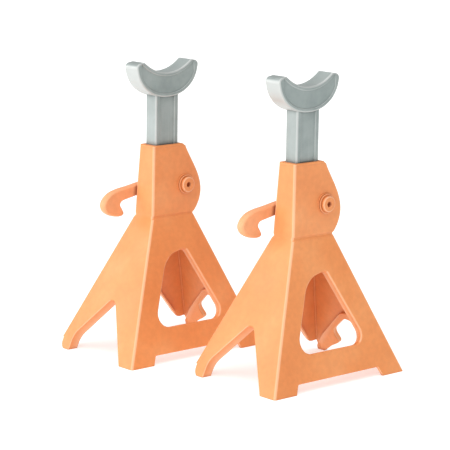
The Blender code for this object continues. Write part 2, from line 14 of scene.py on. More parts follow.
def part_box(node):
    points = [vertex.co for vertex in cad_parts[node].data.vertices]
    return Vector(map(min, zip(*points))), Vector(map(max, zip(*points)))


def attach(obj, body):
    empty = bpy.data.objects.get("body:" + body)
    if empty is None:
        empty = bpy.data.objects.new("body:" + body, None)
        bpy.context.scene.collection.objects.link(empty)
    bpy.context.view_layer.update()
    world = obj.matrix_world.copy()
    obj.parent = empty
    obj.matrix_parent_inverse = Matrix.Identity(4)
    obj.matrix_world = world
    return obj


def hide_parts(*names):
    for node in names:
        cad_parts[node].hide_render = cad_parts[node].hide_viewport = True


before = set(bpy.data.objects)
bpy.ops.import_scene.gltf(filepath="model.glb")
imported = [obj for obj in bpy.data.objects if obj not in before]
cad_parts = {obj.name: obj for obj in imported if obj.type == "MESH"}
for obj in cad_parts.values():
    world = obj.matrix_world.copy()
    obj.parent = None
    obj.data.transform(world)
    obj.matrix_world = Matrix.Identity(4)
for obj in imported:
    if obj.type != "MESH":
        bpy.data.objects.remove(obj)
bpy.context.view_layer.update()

MM = 0.001
CLEAR = 5.0  # how far a cutter runs past what it cuts
FAR = 300.0  # beyond every piece of a stand


def place(stand):
    """Where the stand's post stands on the floor, in metres."""
    low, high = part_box(f"{stand}_ratchet_post")
    return Vector(((low.x + high.x) / 2, (low.y + high.y) / 2, 0.0))


def measured(node):
    """The node's lowest and highest corners in the first stand's own frame, in millimetres."""
    low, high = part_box(f"stand1_{node}")
    return (low - place("stand1")) / MM, (high - place("stand1")) / MM


STANDS = ("stand1", "stand2")
SHELL_LOW, SHELL_HIGH = measured("front_shell")
PLATE_LOW, PLATE_HIGH = measured("top_plate")
POST_LOW, POST_HIGH = measured("ratchet_post")
SADDLE_LOW, SADDLE_HIGH = measured("saddle")
PIN_LOW, PIN_HIGH = measured("cross_pin")
HANDLE_LOW, HANDLE_HIGH = measured("handle")
FRONT_WASHER_LOW, FRONT_WASHER_HIGH = measured("front_washer")
REAR_WASHER_LOW, REAR_WASHER_HIGH = measured("rear_washer")
PIVOT = Vector(((PIN_LOW.x + PIN_HIGH.x) / 2, 0.0, (PIN_LOW.z + PIN_HIGH.z) / 2))

# Tower
BASE_HALF_WIDTH = SHELL_HIGH.x
BASE_HALF_DEPTH = -SHELL_LOW.y
NECK_BASE_Z = 168.0
NECK_BASE_LEFT = -28.3
NECK_BASE_RIGHT = 37.3
NECK_BASE_HALF_DEPTH = 18.0
NECK_TOP_LEFT = PLATE_LOW.x
NECK_TOP_RIGHT = PLATE_HIGH.x
NECK_TOP_HALF_DEPTH = PLATE_HIGH.y
BULGE = 17.4  # how far the pawl housing swells from the neck's right side
BULGE_LEAN = 0.75  # below 1, so that it is widest under the middle of the neck
BULGE_FULLNESS = 1.2
SHEET = 3.1
FOLD_RADIUS = 2.9
INNER_FOLD_RADIUS = 1.4
FOLD_STEPS = 6
CREASE_EASE = 2.4  # half the height over which the legs' slope turns into the neck's
CREASE_DEPTH = 1.3  # of the pressed line under the neck
CREASE_HALF_HEIGHT = 3.0
CREASE_SAMPLES = 4  # on each side of a height, where the slope turns
CREASE_STEPS = 8  # rings on each side of the crease
NECK_STEPS = 24
TOP_CORNER = 6.5  # the rounding where the neck's top meets its right side
SEAT = 0.1  # left between the tower and its top plate
PLATE_ROUND = 1.4
PLATE_STEPS = 6
POST_HOLE_GAP = 0.4

# Openings in the tower: (across, height, corner radius)
WINDOW = ((-57, 41, 14), (56, 41, 12), (14, 128.5, 6), (-18, 122, 36))
LEFT_ARCH = ((51, -6, 0), (51, 19, 20), (1, 73, 9), (-49, 0, 3), (-49, -6, 0))
RIGHT_ARCH = ((58, -6, 0), (56, 1, 5), (38, 12.5, 10), (21, 20.5, 4), (28.5, 35, 8),
              (-8, 63, 14), (-49, 0, 3), (-49, -6, 0))
REAR_ARCH = ((96.8, -6, 0), (96.8, 12.6, 0), (86, 11, 14), (74, 21, 20), (0, 95, 30),
             (-74, 21, 20), (-86, 11, 14), (-96.8, 12.6, 0), (-96.8, -6, 0))
RAIL = ((73, -6, 0), (65, 11, 3), (-65, 11, 3), (-73, -6, 0))
FOOT_CORNER = ((57, -6, 0), (90, -6, 0), (90, 13, 0), (68.2, 13, 0), (67.8, -0.5, 9),
               (57, -0.5, 0))  # what is trimmed off the rear feet

# Lips round the openings
LIP_DEPTH = 9.0
LEFT_LIP_DEPTH = 13.0
RIGHT_HEM_DEPTH = 7.0
LIP_THICKNESS = 2.6
LIP_START = 1.2
RIGHT_HEM = ((68, -6, 0), (66, 8, 6), (50, 26, 12), (-10, 76, 22), (-56, 0, 3), (-56, -6, 0))
REAR_LIP = ((80, -6, 0), (80, 10, 4), (76.5, 22, 20), (0, 98.5, 32),
            (-76.5, 22, 20), (-80, 10, 4), (-80, -6, 0))
WINDOW_ROUND = 2.3  # how softly the sheet is rolled into the openings
ARCH_ROUND = 1.3
RIM_ROUND = 1.0
BOSS_ROUND = 0.9
SHOULDER = 0.3  # where a two-step rounding bends, as a share of its radius
TRIM_ROUND = 0.6  # the inner rounding of an edge that has no lip

# Post and saddle
POST_EDGE = 2.2
POST_FOOT = ((0.0, -1.2), (0.4, -0.5), (1.3, 0.0))  # its rounded lower end: (height, growth)
POST_IN_SADDLE = 3.0
GROOVE_HALF_WIDTH = 12.2
GROOVE_SIDE = 1.6  # the width over which its side slopes
GROOVE_DEPTH = 1.6
TROUGH_RADIUS = 54.0
TROUGH_BOTTOM_Z = 345.0
SADDLE_OUTER_HEIGHT = 42.0
SADDLE_FULLNESS = 2.15  # above 2, so that the underside is a little squarer than round
SADDLE_RIM = 4.8
SADDLE_EDGE = 2.2
SADDLE_EDGE_STEPS = 6
HORN_ANGLE = 82.0  # from straight down, in degrees: where the underside turns into the horn's side
HORN_SIDE = 11.0  # height of the horn's side
HORN_SLOPE = 2.0  # how far the horn's top falls outwards
HORN_ROUND = 6.0
HORN_INNER_ROUND = 3.0
HORN_INNER_RUN = 5.0  # how far the line of the inner slope runs down and in
TROUGH_INSET = 3.4  # from the horn's inner corner to where the trough's own curve starts
SADDLE_RECESS = 1.3
RECESS_ANGLE = 71.0  # from straight down, in degrees: how far round the recess goes
RECESS_EDGE = (  # (depth, growth)
    (-CLEAR, 3.0), (0.0, 1.1), (0.35, 0.55), (0.9, 0.15), (SADDLE_RECESS, -0.7))

# Ratchet
TOOTH_PITCH = 12.5
TEETH = 8
TOP_TOOTH_FACE_Z = 274.92
TOOTH_CREST_X = 16.0
TOOTH_ROOT_X = 12.0
TOOTH_LAND = 1.0
CHANNEL_HALF_WIDTH = 6.0
CHANNEL_BOTTOM_Z = 155.0
CHANNEL_TOP_RUN = 4.0
TOOTH_ROUND = 0.45
TOOTH_ROUND_STEPS = 2
TOOTH_SHARP_FROM = 40.0  # degrees
STOP_HOLE_RADIUS = 2.8
STOP_HOLE_Z = 128.0
STOP_HOLE_REACH = 20.0  # how far its cutter runs to the front and rear

# Cross pin, washers and handle
BORE_GAP = 0.3
PIN_RADIUS = 4.6
PIN_HEAD_RADIUS = (PIN_HIGH.x - PIN_LOW.x) / 2
PIN_HEAD = 4.0
PIN_HEAD_ROUND = 1.7
PIN_HEAD_CHAMFER = 0.4
PIN_TIP_CHAMFER = 0.9
PIN_DRILL_RADIUS = 3.2
PIN_DRILL_DEPTH = 5.0
PIN_DRILL_MOUTH = ((0.0, 0.9), (0.25, 0.35), (0.8, 0.02))  # (growth, depth)
WASHER_ROUND = 0.5
WASHER_ROUND_STEPS = 4
BOSS_RADIUS = 13.2
BOSS_FACE_Y = 17.25
HANDLE_ROUND = 3.3
HANDLE_ROUND_STEPS = 7
HANDLE_EYE_RADIUS = 10.3
HANDLE_EYE_BLEND = 0.35  # the angle, in radians, left for the eye to run into the bar
HANDLE_OUTLINE = ((10, 210), (-17, 206), (-34, 203), (-50, 200.6), (-62, 197), (-70.5, 190.5),
                  (-74.5, 182), (-71.5, 174), (-64, 169), (-54, 166.3), (-45.5, 166.3), (-42, 170),
                  (-44.6, 176), (-47.4, 181), (-44, 185), (-32, 187.6), (-17.5, 190.4), (10, 195))

# Bends that get a painted highlight, which also stands for the coat worn thin
BEND = "bend"
BEND_LOW = math.radians(12)
BEND_HIGH = math.radians(25)
BEND_MARGIN = 1.0
BENT = {"front_shell": 0.6, "rear_shell": 0.6, "top_plate": 0.6, "front_washer": 0.0, "rear_washer": 0.0,
        "cross_pin": 0.0, "ratchet_post": 0.6, "saddle": 0.0}  # the pieces marked, and their steepness
SHARP_EDGE = math.radians(38)

# Colours
PAINT = (0.87, 0.315, 0.105)
PAINT_LIGHT = (0.94, 0.43, 0.18)
PAINT_DEEP = (0.80, 0.26, 0.08)
# pale paint: the handle's own paler tone, and the painted highlight on the bends
PAINT_WORN_AND_HIGHLIGHT = (0.97, 0.62, 0.40)
# painted shade in hollows, holes and inside corners
ORANGE_PAINTED_SHADE = (0.45, 0.12, 0.045)
COATING = (0.30, 0.35, 0.34)
COATING_LIGHT = (0.44, 0.49, 0.48)
COATING_DEEP = (0.17, 0.215, 0.21)
# pale coat: the painted sheen on narrow sides and the painted highlight on bends
COATING_SHEEN_AND_WEAR = (0.62, 0.635, 0.62)
# painted shade in hollows and inside corners
GREY_PAINTED_SHADE = (0.045, 0.06, 0.06)
OILED_STEEL = (0.16, 0.155, 0.15)
ZINC_PLATE = (0.55, 0.55, 0.53)
FLOOR_DARK = (0.66, 0.675, 0.68)
FLOOR_LIGHT = (0.69, 0.705, 0.71)
WARM_WHITE = (1.0, 0.995, 0.985, 1.0)

# Floor, light and camera, in metres
FLOOR_HALF_SIZE = 14.0
FLOOR_GAP = 0.0002  # between the feet and the floor, so that their faces don't share a plane
FLOOR_GLOW = 0.56
WORLD_LIGHT = 0.39
SUNS = (  # name, the direction that it stands in, strength, spread in degrees
    ("key", (-0.9, -0.2, 0.35), 1.35, 60),
    ("top", (-0.1, -0.1, 1.0), 1.45, 70),
    ("rim", (-0.7, 0.7, 0.2), 1.3, 50))
SENSOR_WIDTH = 36.0  # this and the lens are in millimetres
LENS = 160.08
CAMERA_NEAR = 0.05
CAMERA_FAR = 100.0
CAMERA_RIGHT = Vector((0.75096, -0.66017, 0.01569))
CAMERA_UP = Vector((0.11389, 0.15289, 0.98166))
CAMERA_PLACE = Vector((-1.5807, -1.7779, 0.6271))


def between(start, end, share):
    return start + (end - start) * share


def eased(share):
    share = min(1.0, max(0.0, share))
    return share * share * (3 - 2 * share)


# Outlines: lists of (across, height) points, counter-clockwise

def rounded(corners, steps):
    """The closed outline through corners given as (across, height, radius)."""
    outline = []
    for index, (across, height, radius) in enumerate(corners):
        corner = Vector((across, height))
        before = Vector(corners[index - 1][:2]) - corner
        after = Vector(corners[(index + 1) % len(corners)][:2]) - corner
        if radius == 0:
            outline.append(tuple(corner))
            continue
        half_angle = before.angle(after) / 2
        middle = corner + (before.normalized() + after.normalized()).normalized() * (
            radius / math.sin(half_angle))
        first = corner + before.normalized() * radius / math.tan(half_angle) - middle
        last = corner + after.normalized() * radius / math.tan(half_angle) - middle
        turn = first.angle_signed(last)
        for step in range(steps + 1):
            angle = -turn * step / steps
            spun = Vector((first.x * math.cos(angle) - first.y * math.sin(angle),
                           first.x * math.sin(angle) + first.y * math.cos(angle)))
            outline.append(tuple(middle + spun))
    return outline


def circle(radius, steps, across=0.0, height=0.0):
    return [(across + radius * math.cos(math.tau * step / steps),
             height + radius * math.sin(math.tau * step / steps)) for step in range(steps)]


def smooth_open(points, steps):
    """A Catmull-Rom curve through the points, both ends kept."""
    padded = [points[0], *points, points[-1]]
    curve = []
    for index in range(len(points) - 1):
        p0, p1, p2, p3 = (Vector(padded[index + offset]) for offset in range(4))
        for step in range(steps):
            t = step / steps
            curve.append(tuple(0.5 * (2 * p1 + (p2 - p0) * t + (2 * p0 - 5 * p1 + 4 * p2 - p3) * t ** 2
                                      + (3 * p1 - p0 - 3 * p2 + p3) * t ** 3)))
    curve.append(tuple(points[-1]))
    return curve


def grown(outline, distance):
    """The outline moved out by distance, or in where distance is negative."""
    least_squareness = 0.4  # keeps a sharp corner from running far out
    moved = []
    for index, point in enumerate(outline):
        here = Vector(point)
        arriving = (here - Vector(outline[index - 1])).normalized()
        leaving = (Vector(outline[(index + 1) % len(outline)]) - here).normalized()
        normal = Vector((arriving.y + leaving.y, -arriving.x - leaving.x)).normalized()
        stretch = 1 / max(least_squareness, normal.dot(Vector((leaving.y, -leaving.x))))
        moved.append(tuple(here + normal * distance * stretch))
    return moved


# Solids, in millimetres until they are placed

def solid_from_rings(name, rings):
    """A closed solid through rings of equal point count, with a flat face on the first and last."""
    mesh = bmesh.new()
    rows = [[mesh.verts.new(Vector(point)) for point in ring] for ring in rings]
    for lower, upper in zip(rows, rows[1:]):
        for index in range(len(lower)):
            following = (index + 1) % len(lower)
            mesh.faces.new((lower[index], lower[following], upper[following], upper[index]))
    mesh.faces.new(list(reversed(rows[0])))
    mesh.faces.new(rows[-1])
    bmesh.ops.recalc_face_normals(mesh, faces=mesh.faces)
    data = bpy.data.meshes.new(name)
    mesh.to_mesh(data)
    mesh.free()
    solid = bpy.data.objects.new(name, data)
    bpy.context.scene.collection.objects.link(solid)
    return solid


def along_y(name, outline, levels):
    """A solid of the outline standing in the XZ plane. Levels are (y, growth of the outline)."""
    return solid_from_rings(
        name, [[(x, y, z) for x, z in (grown(outline, growth) if growth else outline)]
               for y, growth in levels])


def along_z(name, outline, levels):
    """A solid of the outline lying in the XY plane. Levels are (z, growth of the outline)."""
    return solid_from_rings(
        name, [[(x, y, z) for x, y in (grown(outline, growth) if growth else outline)]
               for z, growth in levels])


def box(name, low, high):
    corners = ((low[0], low[1]), (high[0], low[1]), (high[0], high[1]), (low[0], high[1]))
    return along_z(name, corners, ((low[2], 0), (high[2], 0)))


def turned(name, profile, steps=72):
    """A solid of revolution about the pivot's axis. The profile is (radius, y), front to rear."""
    return solid_from_rings(name, [
        [(PIVOT.x + x, y, PIVOT.z + z) for x, z in circle(radius, steps)] for radius, y in profile])


def evaluated(solid):
    """Takes the solid's modifiers into its mesh."""
    bpy.context.view_layer.update()
    mesh = bpy.data.meshes.new_from_object(solid.evaluated_get(bpy.context.evaluated_depsgraph_get()))
    solid.modifiers.clear()
    solid.data = mesh
    return solid


def changed(solid, operation, others):
    """The solid after cutting, joining or crossing it with the others, which are used up."""
    for other in others:
        modifier = solid.modifiers.new(operation.lower(), "BOOLEAN")
        modifier.operation = operation
        modifier.object = other
    evaluated(solid)
    for other in others:
        bpy.data.objects.remove(other)
    return solid


def cut(solid, *others):
    return changed(solid, "DIFFERENCE", others)


def joined(solid, *others):
    return changed(solid, "UNION", others)


def softened(solid, width, segments, sharp_from):
    """Rounds the edges that turn by more than sharp_from, in degrees."""
    same_place = 0.02
    flat = math.radians(0.4)
    mesh = bmesh.new()
    mesh.from_mesh(solid.data)
    bmesh.ops.remove_doubles(mesh, verts=mesh.verts, dist=same_place)
    bmesh.ops.dissolve_limit(mesh, angle_limit=flat, verts=mesh.verts, edges=mesh.edges)
    weights = mesh.edges.layers.float.new("bevel_weight_edge")
    for edge in mesh.edges:
        if edge.is_manifold and edge.calc_face_angle(0.0) > math.radians(sharp_from):
            edge[weights] = 1.0
    mesh.to_mesh(solid.data)
    mesh.free()
    bevel = solid.modifiers.new("round", "BEVEL")
    bevel.limit_method = "WEIGHT"
    bevel.width = width
    bevel.segments = segments
    bevel.use_clamp_overlap = False
    bevel.miter_outer = "MITER_ARC"
    return evaluated(solid)


# The tower

def neck_share(z):
    return (z - NECK_BASE_Z) / (PLATE_LOW.z - NECK_BASE_Z)


def left_line(z):
    if z < NECK_BASE_Z:
        return between(-BASE_HALF_WIDTH, NECK_BASE_LEFT, z / NECK_BASE_Z)
    return between(NECK_BASE_LEFT, NECK_TOP_LEFT, neck_share(z))


def depth_line(z):
    if z < NECK_BASE_Z:
        return between(BASE_HALF_DEPTH, NECK_BASE_HALF_DEPTH, z / NECK_BASE_Z)
    return between(NECK_BASE_HALF_DEPTH, NECK_TOP_HALF_DEPTH, neck_share(z))


def right_line(z):
    """Straight up the leg, then out and back in round the pawl."""
    if z < NECK_BASE_Z:
        return between(BASE_HALF_WIDTH, NECK_BASE_RIGHT, z / NECK_BASE_Z)
    share = neck_share(z)
    swell = math.sin(math.pi * min(1.0, share) ** BULGE_LEAN)
    return between(NECK_BASE_RIGHT, NECK_TOP_RIGHT, share) + BULGE * max(0.0, swell) ** BULGE_FULLNESS


def over_the_crease(line, z):
    """The line with its corner at the foot of the neck rounded."""
    if abs(z - NECK_BASE_Z) >= CREASE_EASE:
        return line(z)
    ease = CREASE_EASE - abs(z - NECK_BASE_Z)
    steps = range(-CREASE_SAMPLES, CREASE_SAMPLES + 1)
    samples = [line(z + ease * step / CREASE_SAMPLES) for step in steps]
    return sum(samples) / len(samples)


def section(z, inset, fold_radius, steps):
    """The tower's outline at a height, moved in by the inset."""
    left = over_the_crease(left_line, z) + inset
    right = over_the_crease(right_line, z) - inset
    pressed = CREASE_DEPTH * eased(1 - abs(z - NECK_BASE_Z) / CREASE_HALF_HEIGHT)
    depth = over_the_crease(depth_line, z) - inset - pressed
    corners = ((left, -depth), (right, -depth), (right, depth), (left, depth))
    return [(x, y, z) for x, y in rounded([(*corner, fold_radius) for corner in corners], steps)]


def section_heights(bottom, top):
    """Close together round the crease, one step past it on each side, and even up the neck."""
    steps = range(-CREASE_STEPS - 1, CREASE_STEPS + 2)
    crease = [NECK_BASE_Z + CREASE_HALF_HEIGHT * step / CREASE_STEPS for step in steps]
    neck = [between(crease[-1], PLATE_LOW.z, step / NECK_STEPS) for step in range(1, NECK_STEPS)]
    return [bottom, *crease, *neck, top]


def front_wall(x, z, depth):
    """A point depth inside the front face, measured square to the sheet."""
    slope = (BASE_HALF_DEPTH - NECK_BASE_HALF_DEPTH) / NECK_BASE_Z
    return Vector((x, slope * z - BASE_HALF_DEPTH, z)) + Vector((0, 1, -slope)).normalized() * depth


def rear_wall(x, z, depth):
    point = front_wall(x, z, depth)
    return Vector((point.x, -point.y, point.z))


def left_wall(y, z, depth):
    slope = (BASE_HALF_WIDTH + NECK_BASE_LEFT) / NECK_BASE_Z
    return Vector((slope * z - BASE_HALF_WIDTH, y, z)) + Vector((1, 0, -slope)).normalized() * depth


def right_wall(y, z, depth):
    slope = (BASE_HALF_WIDTH - NECK_BASE_RIGHT) / NECK_BASE_Z
    return Vector((BASE_HALF_WIDTH - slope * z, y, z)) + Vector((-1, 0, -slope)).normalized() * depth


def through_wall(name, wall, outline, levels):
    """A solid of the outline standing square to the wall. Levels are (depth, growth)."""
    return solid_from_rings(name, [
        [wall(across, z, depth) for across, z in (grown(outline, growth) if growth else outline)]
        for depth, growth in levels])


def flared(thickness, outer, inner):
    """The levels of a cutter that rounds a wall's outer and inner edges over."""
    levels = [(-CLEAR, outer)]
    for degrees in (10, 30, 50, 70, 90):
        angle = math.radians(degrees)
        levels.append((outer * (1 - math.cos(angle)), outer * (1 - math.sin(angle))))
    for degrees in (0, 30, 60):
        angle = math.radians(degrees)
        levels.append((thickness - inner * (1 - math.sin(angle)), inner * (1 - math.cos(angle))))
    return [*levels, (thickness + CLEAR, inner)]


def tower():
    """Both halves of the tower in one, before the weld seam parts them."""
    top = PLATE_LOW.z - SEAT
    body = solid_from_rings("tower", [section(z, 0, FOLD_RADIUS, FOLD_STEPS)
                                      for z in section_heights(-CLEAR, top)])
    hollow = solid_from_rings("hollow", [section(z, SHEET, INNER_FOLD_RADIUS, 4)
                                         for z in section_heights(-2 * CLEAR, PLATE_HIGH.z)])
    cut(body, hollow)
    window = rounded(WINDOW, 12)
    left_arch = rounded(LEFT_ARCH, 8)
    openings = (  # the wall, the hole, the outside of its lip, how far the lip turns in, its rounding
        (front_wall, window, grown(window, LIP_THICKNESS), LIP_DEPTH, WINDOW_ROUND),
        (rear_wall, rounded(REAR_ARCH, 10), rounded(REAR_LIP, 10), LIP_DEPTH, ARCH_ROUND),
        (left_wall, left_arch, grown(left_arch, LIP_THICKNESS), LEFT_LIP_DEPTH, ARCH_ROUND),
        (right_wall, rounded(RIGHT_ARCH, 8), rounded(RIGHT_HEM, 10), RIGHT_HEM_DEPTH, ARCH_ROUND))
    joined(body, *(through_wall("lip", wall, lip, (
        (LIP_START, 0), (depth - RIM_ROUND, 0), (depth - SHOULDER * RIM_ROUND, -SHOULDER * RIM_ROUND),
        (depth, -RIM_ROUND))) for wall, _, lip, depth, _ in openings))
    joined(body, boss("front_boss", -1), boss("rear_boss", 1))
    cut(body, *(through_wall("opening", wall, hole, flared(depth, rounding, RIM_ROUND))
                for wall, hole, _, depth, rounding in openings))
    corner = rounded(FOOT_CORNER, 8)
    under_rail = flared(SHEET, RIM_ROUND, TRIM_ROUND)
    beside_foot = flared(LIP_DEPTH, RIM_ROUND, TRIM_ROUND)
    bore = circle(PIN_RADIUS + BORE_GAP, 40, PIVOT.x, PIVOT.z)
    return cut(body, through_wall("rail", front_wall, rounded(RAIL, 5), under_rail),
               through_wall("left_corner", left_wall, corner, beside_foot),
               through_wall("right_corner", right_wall, corner, beside_foot),
               along_y("pin_hole", bore, ((-FAR, 0), (FAR, 0))),
               box("floor", (-FAR, -FAR, -FAR), (FAR, FAR, 0)))


def boss(name, side):
    """The round boss that a washer sits on, on the front (-1) or rear (1) of the neck."""
    levels = [(NECK_TOP_HALF_DEPTH, 0), (BOSS_FACE_Y - BOSS_ROUND, 0),
              (BOSS_FACE_Y - SHOULDER * BOSS_ROUND, -SHOULDER * BOSS_ROUND), (BOSS_FACE_Y, -BOSS_ROUND)]
    outward = [(side * y, growth) for y, growth in levels]
    return along_y(name, circle(BOSS_RADIUS, 64, PIVOT.x, PIVOT.z), outward[::side])


def half_of(body, name, keep):
    """The half on the side of Y that keep (-1 or 1) says."""
    half = body.copy()
    half.name = name
    bpy.context.scene.collection.objects.link(half)
    near = 0.0 if keep < 0 else -FAR
    far = FAR if keep < 0 else 0.0
    return cut(half, box("other_side", (-FAR, near, -CLEAR), (FAR, far, FAR)))


def top_plate():
    """The plate that closes the neck, rounded most at its right-hand side."""
    rings = []
    thickness = PLATE_HIGH.z - PLATE_LOW.z
    for step in range(PLATE_STEPS + 1):
        angle = math.pi / 2 * step / PLATE_STEPS
        z = PLATE_LOW.z + (thickness - PLATE_ROUND + PLATE_ROUND * math.sin(angle)) * min(1, step)
        inset = PLATE_ROUND * (1 - math.cos(angle))
        drop = max(0.0, z - (PLATE_HIGH.z - TOP_CORNER))
        right_inset = TOP_CORNER - math.sqrt(max(0.0, TOP_CORNER ** 2 - drop ** 2))
        left = NECK_TOP_LEFT + inset
        right = NECK_TOP_RIGHT - max(inset, right_inset)
        depth = NECK_TOP_HALF_DEPTH - inset
        corners = ((left, -depth), (right, -depth), (right, depth), (left, depth))
        outline = rounded([(*point, FOLD_RADIUS - inset) for point in corners], FOLD_STEPS)
        rings.append([(x, y, z) for x, y in outline])
    plate = solid_from_rings("top_plate", rings)
    across = POST_HIGH.x + POST_HOLE_GAP
    deep = POST_HIGH.y + POST_HOLE_GAP
    return cut(plate, box("post_hole", (-across, -deep, NECK_BASE_Z), (across, deep, FAR)))


# The post and saddle

def post_face(x):
    """How far the post's wide face is from its middle: full at the edges, lower between them."""
    return POST_HIGH.y - GROOVE_DEPTH * eased((GROOVE_HALF_WIDTH - abs(x)) / GROOVE_SIDE)


def post_section():
    """Rounded corners, and wide faces with a shallow soft-sided channel."""
    wide = POST_HIGH.x
    deep = POST_HIGH.y
    edge_steps = 5
    groove_steps = 60
    corners = rounded([(-wide, -deep, POST_EDGE), (wide, -deep, POST_EDGE),
                       (wide, deep, POST_EDGE), (-wide, deep, POST_EDGE)], edge_steps)
    channel = [between(-GROOVE_HALF_WIDTH, GROOVE_HALF_WIDTH, step / groove_steps)
               for step in range(groove_steps + 1)]
    front = [(x, -post_face(x)) for x in channel]
    rear = [(x, post_face(x)) for x in reversed(channel)]
    points = edge_steps + 1  # in one rounded corner
    return [*corners[:points], *front, *corners[points:3 * points], *rear, *corners[3 * points:]]


def ratchet_profile():
    """The outline of the space cut from the post's right side: a channel with a saw-toothed floor."""
    outside = POST_HIGH.x + CLEAR
    profile = [(outside, CHANNEL_BOTTOM_Z), (outside, TOP_TOOTH_FACE_Z + CHANNEL_TOP_RUN),
               (TOOTH_CREST_X, TOP_TOOTH_FACE_Z + CHANNEL_TOP_RUN)]
    for tooth in range(TEETH):
        face = TOP_TOOTH_FACE_Z - tooth * TOOTH_PITCH
        profile.append((TOOTH_CREST_X, face))
        profile.append((TOOTH_ROOT_X, face))
        profile.append((TOOTH_CREST_X, face - TOOTH_PITCH + TOOTH_LAND))
    profile.append((TOOTH_CREST_X, CHANNEL_BOTTOM_Z))
    return profile


def ratchet_post():
    """A bar with its ratchet down the right side and a hole for the stop pin near its foot."""
    post = along_z("ratchet_post", post_section(), (
        *((POST_LOW.z + height, growth) for height, growth in POST_FOOT),
        (SADDLE_LOW.z + POST_IN_SADDLE, 0)))
    wide = CHANNEL_HALF_WIDTH
    stop_hole = circle(STOP_HOLE_RADIUS, 32, 0, STOP_HOLE_Z)
    cut(post, along_y("ratchet", ratchet_profile(), ((-wide, 0), (wide, 0))),
        along_y("stop_hole", stop_hole, ((-STOP_HOLE_REACH, 0), (STOP_HOLE_REACH, 0))))
    return softened(post, TOOTH_ROUND, TOOTH_ROUND_STEPS, TOOTH_SHARP_FROM)


def outer_curve_point(degrees, inset=0.0):
    """A point on the saddle's outer curve, its angle taken from straight down."""
    power = 2 / SADDLE_FULLNESS
    across = math.sin(math.radians(degrees))
    down = math.cos(math.radians(degrees))
    x = (SADDLE_HIGH.x - inset) * math.copysign(abs(across) ** power, across)
    z = (SADDLE_OUTER_HEIGHT - inset) * math.copysign(abs(down) ** power, down)
    return x, SADDLE_LOW.z + SADDLE_OUTER_HEIGHT - z


def saddle_outline():
    """Horns that slope down outwards, the trough between them, and the round underside."""
    under_steps = 28
    trough_steps = 16
    tip_steps = 8
    outer = [outer_curve_point(HORN_ANGLE * step / under_steps) for step in range(1, under_steps + 1)]
    centre_z = TROUGH_BOTTOM_Z + TROUGH_RADIUS
    top_z = SADDLE_HIGH.z
    horn_x = math.sqrt(TROUGH_RADIUS ** 2 - (centre_z - top_z) ** 2)
    tip = rounded(((SADDLE_HIGH.x, top_z - HORN_SIDE, 0), (SADDLE_HIGH.x, top_z - HORN_SLOPE, HORN_ROUND),
                   (horn_x, top_z, HORN_INNER_ROUND),
                   (horn_x - HORN_INNER_RUN, top_z - HORN_INNER_RUN, 0)), tip_steps)[1:-1]
    start = math.asin((horn_x - TROUGH_INSET) / TROUGH_RADIUS)
    angles = [start * step / trough_steps for step in range(trough_steps, 0, -1)]
    trough = [(TROUGH_RADIUS * math.sin(angle), centre_z - TROUGH_RADIUS * math.cos(angle))
              for angle in angles]
    right = [*outer, *tip, *trough]
    left = [(-x, z) for x, z in reversed(right)]
    return [(0, SADDLE_LOW.z), *right, (0, TROUGH_BOTTOM_Z), *left]


def saddle_recess_outline():
    """The saddle's face inside its raised rim."""
    steps = 32
    centre_z = TROUGH_BOTTOM_Z + TROUGH_RADIUS
    lower = [outer_curve_point(between(-RECESS_ANGLE, RECESS_ANGLE, step / steps), SADDLE_RIM)
             for step in range(steps + 1)]
    upper = [(x, centre_z - math.sqrt((TROUGH_RADIUS + SADDLE_RIM) ** 2 - x * x)) for x, _ in lower]
    return [*lower, *reversed(upper[1:-1])]


def saddle():
    """The crescent with rounded edges, and a shallow recess in its front and rear faces."""
    front = SADDLE_LOW.y
    rear = SADDLE_HIGH.y
    rim = []
    for step in range(SADDLE_EDGE_STEPS, -1, -1):
        angle = math.pi / 2 * step / SADDLE_EDGE_STEPS
        rim.append((SADDLE_EDGE * (1 - math.sin(angle)), -SADDLE_EDGE * (1 - math.cos(angle))))
    crescent = along_y("saddle", saddle_outline(), [
        *((front + depth, growth) for depth, growth in rim),
        *((rear - depth, growth) for depth, growth in reversed(rim))])
    recess = saddle_recess_outline()
    from_front = [(front + depth, growth) for depth, growth in RECESS_EDGE]
    from_rear = [(rear - depth, growth) for depth, growth in reversed(RECESS_EDGE)]
    return cut(crescent, along_y("recess", recess, from_front), along_y("recess", recess, from_rear))


# The cross pin, its washers and the handle

def arc_profile(radius, y, round_radius, outward, steps=6):
    """(radius, y) points round the rim of a disc whose flat face is at y."""
    points = []
    for step in range(steps + 1):
        angle = math.pi / 2 * step / steps
        points.append((radius - round_radius * (1 - math.sin(angle)),
                       y - outward * round_radius * (1 - math.cos(angle))))
    return points


def cross_pin():
    """The pin with its drilled, round-edged head, from the drilling's floor to the pin's tip."""
    head_y = FRONT_WASHER_LOW.y - BORE_GAP
    face_y = head_y - PIN_HEAD
    mouth = [(PIN_DRILL_RADIUS + growth, face_y + depth) for growth, depth in PIN_DRILL_MOUTH]
    shaft = [(PIN_HEAD_RADIUS, head_y - PIN_HEAD_CHAMFER), (PIN_HEAD_RADIUS - PIN_HEAD_CHAMFER, head_y),
             (PIN_RADIUS, head_y), (PIN_RADIUS, PIN_HIGH.y - PIN_TIP_CHAMFER),
             (PIN_RADIUS - PIN_TIP_CHAMFER, PIN_HIGH.y)]
    return turned("cross_pin", [
        (PIN_DRILL_RADIUS, face_y + PIN_DRILL_DEPTH), *mouth,
        *arc_profile(PIN_HEAD_RADIUS, face_y, PIN_HEAD_ROUND, -1), *shaft])


def bored(solid, low_y, high_y):
    """The solid with the cross pin's hole through it."""
    radius = PIN_RADIUS + BORE_GAP
    return cut(solid, turned("bore", ((radius, low_y - CLEAR), (radius, high_y + CLEAR))))


